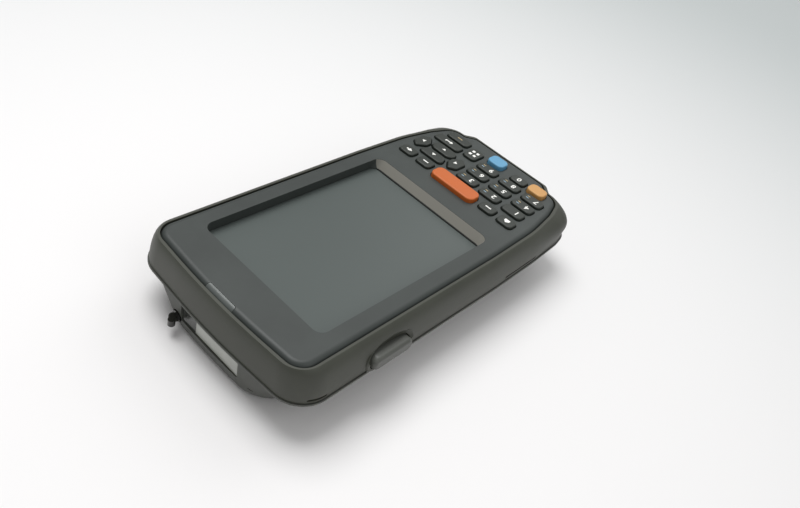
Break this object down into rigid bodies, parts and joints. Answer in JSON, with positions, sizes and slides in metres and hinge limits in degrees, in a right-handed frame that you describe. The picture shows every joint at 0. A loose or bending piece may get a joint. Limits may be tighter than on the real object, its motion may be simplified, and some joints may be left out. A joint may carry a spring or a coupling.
{
  "type": "portable barcode data terminal",
  "caption": "Handheld barcode data terminal with a touch display, numeric keypad, scan window at one end, side scan buttons, stylus and sliding battery door.",
  "frame": {"origin": "on the flat back that the terminal rests on, on its centreline, at about half its length", "axes": "+Z out of the display, +Y along the length towards the scan window, +X to the right seen from the front"},
  "size_m": [0.0846, 0.1591, 0.0299],
  "materials": {
    "face_plastic": "satin textured",
    "rim_plastic": "satin textured",
    "housing_plastic": "satin textured",
    "door_plastic": "satin textured",
    "button_plastic": "satin",
    "key_plastic": "satin",
    "orange_key_plastic": "satin",
    "amber_key_plastic": "satin",
    "blue_key_plastic": "satin",
    "lamp_plastic": "clear",
    "display_glass": "clear",
    "window_glass": "clear",
    "gasket_rubber": "matte",
    "lcd_metal": "satin",
    "board_green": "satin",
    "keypad_board_green": "satin",
    "shield_can": "satin",
    "socket_steel": "satin",
    "switch_black": "satin",
    "dome_film": "satin",
    "link_black": "satin",
    "engine_metal": "satin",
    "speaker_black": "satin",
    "dock_brass": "polished",
    "battery_wrap": "satin",
    "battery_brass": "polished",
    "screw_steel": "satin",
    "stylus_plastic": "polished"
  },
  "bodies": {
    "housing": {"face_plate": "face_plastic", "mid_frame": "rim_plastic", "rear_housing": "housing_plastic", "light_pipe": "lamp_plastic", "touch_panel": "display_glass", "display_gasket": "gasket_rubber", "lcd_module": "lcd_metal", "main_board": "board_green", "radio_module": "shield_can", "card_socket": "socket_steel", "side_switches": "switch_black", "keypad_board": "keypad_board_green", "dome_sheet": "dome_film", "board_link": "link_black", "scan_window": "window_glass", "scan_engine": "engine_metal", "speaker": "speaker_black", "dock_contacts": "dock_brass", "battery_pack": "battery_wrap", "battery_contacts": "battery_brass", "housing_screws": "screw_steel"},
    "key_home": {"key_home": "key_plastic"},
    "key_soft_left": {"key_soft_left": "key_plastic"},
    "key_scan": {"key_scan": "orange_key_plastic"},
    "key_soft_right": {"key_soft_right": "key_plastic"},
    "key_back": {"key_back": "key_plastic"},
    "key_1": {"key_1": "key_plastic"},
    "key_2": {"key_2": "key_plastic"},
    "key_3": {"key_3": "key_plastic"},
    "key_4": {"key_4": "key_plastic"},
    "key_5": {"key_5": "key_plastic"},
    "key_6": {"key_6": "key_plastic"},
    "key_7": {"key_7": "key_plastic"},
    "key_8": {"key_8": "key_plastic"},
    "key_9": {"key_9": "key_plastic"},
    "key_0": {"key_0": "key_plastic"},
    "key_amber": {"key_amber": "amber_key_plastic"},
    "key_blue": {"key_blue": "blue_key_plastic"},
    "key_menu": {"key_menu": "key_plastic"},
    "key_up": {"key_up": "key_plastic"},
    "key_left": {"key_left": "key_plastic"},
    "key_right": {"key_right": "key_plastic"},
    "key_down": {"key_down": "key_plastic"},
    "key_enter": {"key_enter": "key_plastic"},
    "key_clear": {"key_clear": "key_plastic"},
    "left_scan_button": {"left_scan_button": "button_plastic"},
    "right_scan_button": {"right_scan_button": "button_plastic"},
    "stylus": {"stylus": "stylus_plastic"},
    "battery_door": {"battery_door": "door_plastic"}
  },
  "joints": [
    {"name": "key_home_press", "type": "slide", "parent": "housing", "child": "key_home", "axis": [0, 0, -1], "range_m": [0, 0.0008], "stiffness_N_per_m": 600},
    {"name": "key_soft_left_press", "type": "slide", "parent": "housing", "child": "key_soft_left", "axis": [0, 0, -1], "range_m": [0, 0.0008], "stiffness_N_per_m": 600},
    {"name": "key_scan_press", "type": "slide", "parent": "housing", "child": "key_scan", "axis": [0, 0, -1], "range_m": [0, 0.0008], "stiffness_N_per_m": 600},
    {"name": "key_soft_right_press", "type": "slide", "parent": "housing", "child": "key_soft_right", "axis": [0, 0, -1], "range_m": [0, 0.0008], "stiffness_N_per_m": 600},
    {"name": "key_back_press", "type": "slide", "parent": "housing", "child": "key_back", "axis": [0, 0, -1], "range_m": [0, 0.0008], "stiffness_N_per_m": 600},
    {"name": "key_1_press", "type": "slide", "parent": "housing", "child": "key_1", "axis": [0, 0, -1], "range_m": [0, 0.0008], "stiffness_N_per_m": 600},
    {"name": "key_2_press", "type": "slide", "parent": "housing", "child": "key_2", "axis": [0, 0, -1], "range_m": [0, 0.0008], "stiffness_N_per_m": 600},
    {"name": "key_3_press", "type": "slide", "parent": "housing", "child": "key_3", "axis": [0, 0, -1], "range_m": [0, 0.0008], "stiffness_N_per_m": 600},
    {"name": "key_4_press", "type": "slide", "parent": "housing", "child": "key_4", "axis": [0, 0, -1], "range_m": [0, 0.0008], "stiffness_N_per_m": 600},
    {"name": "key_5_press", "type": "slide", "parent": "housing", "child": "key_5", "axis": [0, 0, -1], "range_m": [0, 0.0008], "stiffness_N_per_m": 600},
    {"name": "key_6_press", "type": "slide", "parent": "housing", "child": "key_6", "axis": [0, 0, -1], "range_m": [0, 0.0008], "stiffness_N_per_m": 600},
    {"name": "key_7_press", "type": "slide", "parent": "housing", "child": "key_7", "axis": [0, 0, -1], "range_m": [0, 0.0008], "stiffness_N_per_m": 600},
    {"name": "key_8_press", "type": "slide", "parent": "housing", "child": "key_8", "axis": [0, 0, -1], "range_m": [0, 0.0008], "stiffness_N_per_m": 600},
    {"name": "key_9_press", "type": "slide", "parent": "housing", "child": "key_9", "axis": [0, 0, -1], "range_m": [0, 0.0008], "stiffness_N_per_m": 600},
    {"name": "key_0_press", "type": "slide", "parent": "housing", "child": "key_0", "axis": [0, 0, -1], "range_m": [0, 0.0008], "stiffness_N_per_m": 600},
    {"name": "key_amber_press", "type": "slide", "parent": "housing", "child": "key_amber", "axis": [0, 0, -1], "range_m": [0, 0.0008], "stiffness_N_per_m": 600},
    {"name": "key_blue_press", "type": "slide", "parent": "housing", "child": "key_blue", "axis": [0, 0, -1], "range_m": [0, 0.0008], "stiffness_N_per_m": 600},
    {"name": "key_menu_press", "type": "slide", "parent": "housing", "child": "key_menu", "axis": [0, 0, -1], "range_m": [0, 0.0008], "stiffness_N_per_m": 600},
    {"name": "key_up_press", "type": "slide", "parent": "housing", "child": "key_up", "axis": [0, 0, -1], "range_m": [0, 0.0008], "stiffness_N_per_m": 600},
    {"name": "key_left_press", "type": "slide", "parent": "housing", "child": "key_left", "axis": [0, 0, -1], "range_m": [0, 0.0008], "stiffness_N_per_m": 600},
    {"name": "key_right_press", "type": "slide", "parent": "housing", "child": "key_right", "axis": [0, 0, -1], "range_m": [0, 0.0008], "stiffness_N_per_m": 600},
    {"name": "key_down_press", "type": "slide", "parent": "housing", "child": "key_down", "axis": [0, 0, -1], "range_m": [0, 0.0008], "stiffness_N_per_m": 600},
    {"name": "key_enter_press", "type": "slide", "parent": "housing", "child": "key_enter", "axis": [0, 0, -1], "range_m": [0, 0.0008], "stiffness_N_per_m": 600},
    {"name": "key_clear_press", "type": "slide", "parent": "housing", "child": "key_clear", "axis": [0, 0, -1], "range_m": [0, 0.0008], "stiffness_N_per_m": 600},
    {"name": "left_scan_press", "type": "slide", "parent": "housing", "child": "left_scan_button", "axis": [1, 0, 0], "range_m": [0, 0.0012], "stiffness_N_per_m": 800},
    {"name": "right_scan_press", "type": "slide", "parent": "housing", "child": "right_scan_button", "axis": [-1, 0, 0], "range_m": [0, 0.0012], "stiffness_N_per_m": 800},
    {"name": "stylus_draw", "type": "slide", "parent": "housing", "child": "stylus", "axis": [0, 1, 0], "range_m": [0, 0.092]},
    {"name": "battery_door_slide", "type": "slide", "parent": "housing", "child": "battery_door", "axis": [0, -1, 0], "range_m": [0, 0.072]}
  ]
}
